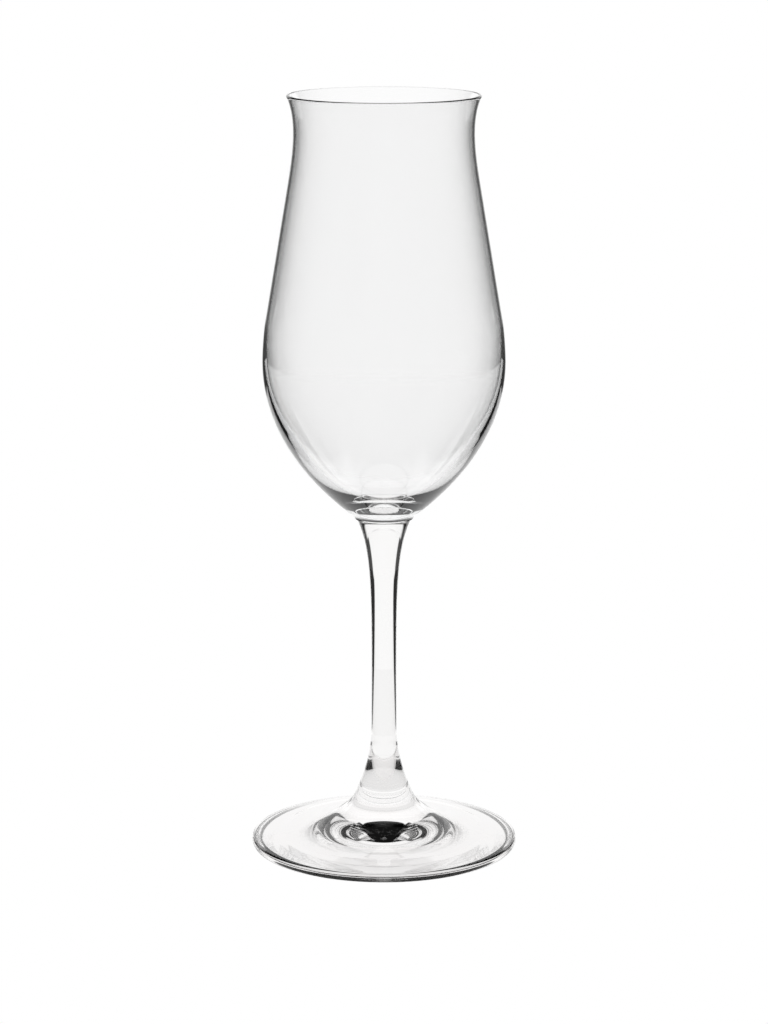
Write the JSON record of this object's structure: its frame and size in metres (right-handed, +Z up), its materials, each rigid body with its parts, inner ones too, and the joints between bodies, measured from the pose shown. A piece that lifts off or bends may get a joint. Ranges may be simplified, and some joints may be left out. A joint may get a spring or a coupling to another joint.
{
  "type": "rose wine glass",
  "caption": "Clear stemmed wine glass for rose: tall tulip bowl with a flared lip and thick base, slim flared stem, and a round foot with a bell-shaped boss.",
  "frame": {"origin": "middle of the foot, on the surface that the glass stands on", "axes": "+Z up along the glass's axis, from the foot to the lip; the glass is round, so X and Y are free"},
  "size_m": [0.0798, 0.0798, 0.225],
  "materials": {
    "bowl_glass": "clear, blown, fire-polished lip",
    "stem_glass": "clear, drawn",
    "foot_glass": "clear, pressed, rounded edge"
  },
  "bodies": {
    "root": {"bowl": "bowl_glass", "stem": "stem_glass", "foot": "foot_glass"}
  },
  "joints": []
}
